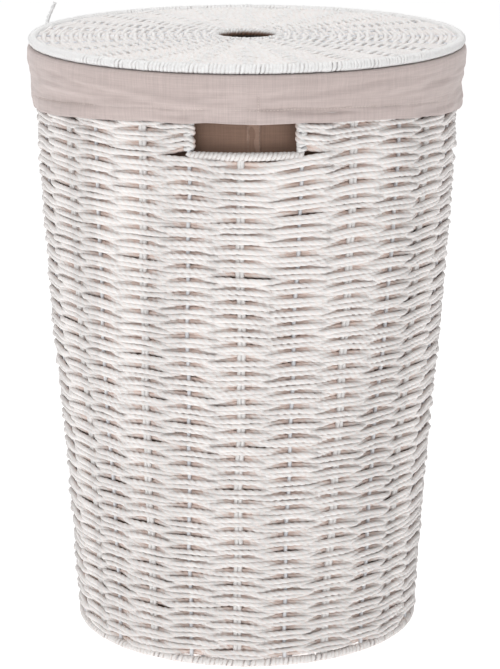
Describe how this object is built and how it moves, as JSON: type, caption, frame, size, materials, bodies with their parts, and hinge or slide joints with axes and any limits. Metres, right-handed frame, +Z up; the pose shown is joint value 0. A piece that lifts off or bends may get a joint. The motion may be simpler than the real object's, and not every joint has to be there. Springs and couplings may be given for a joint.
{
  "type": "laundry basket",
  "caption": "Round tapered laundry basket woven from paper cord over a wire frame, with hand holes, a cloth liner folded over the rim and a loose woven lid with a finger hole.",
  "frame": {"origin": "centre of the foot ring, on the surface that the basket stands on", "axes": "+Z up along the basket's axis, -Y towards the front handle, +X to the right seen from the front"},
  "size_m": [0.4018, 0.4018, 0.5764],
  "materials": {
    "paper_cord": "matt twisted paper cord, painted white",
    "painted_wire": "satin pale blue-grey paint",
    "liner_cloth": "plain-woven cotton and linen, slightly creased",
    "elastic": "flat braided elastic"
  },
  "bodies": {
    "basket": {"base_hoop": "painted_wire", "base_hoop_wrap": "paper_cord", "base_hub_ring": "painted_wire", "base_spokes": "painted_wire", "base_cord_spokes": "paper_cord", "base_weave": "paper_cord", "wire_stakes": "painted_wire", "cord_stakes": "paper_cord", "mid_hoop": "painted_wire", "rim_hoop": "painted_wire", "rim_wrap": "paper_cord", "handle_bar_front": "painted_wire", "handle_bar_back": "painted_wire", "handle_wrap_front": "paper_cord", "handle_wrap_back": "paper_cord", "handle_side_wraps": "paper_cord", "weave_lower": "paper_cord", "weave_upper": "paper_cord", "weave_left": "paper_cord", "weave_right": "paper_cord", "weave_top": "paper_cord"},
    "liner": {"liner_bag": "liner_cloth", "liner_base": "liner_cloth", "liner_cuff": "liner_cloth", "liner_hem": "liner_cloth", "liner_elastic": "elastic", "liner_seam": "liner_cloth"},
    "lid": {"lid_hoop": "painted_wire", "lid_rim_wrap": "paper_cord", "lid_spokes": "painted_wire", "lid_weave": "paper_cord", "finger_ring": "painted_wire", "finger_ring_wrap": "paper_cord", "lid_tail": "paper_cord"}
  },
  "joints": [
    {"name": "liner_lift", "type": "slide", "parent": "basket", "child": "liner", "axis": [0, 0, 1], "range_m": [0, 0.57]},
    {"name": "lid_lift", "type": "slide", "parent": "liner", "child": "lid", "axis": [0, 0, 1], "range_m": [0, 0.3]}
  ]
}
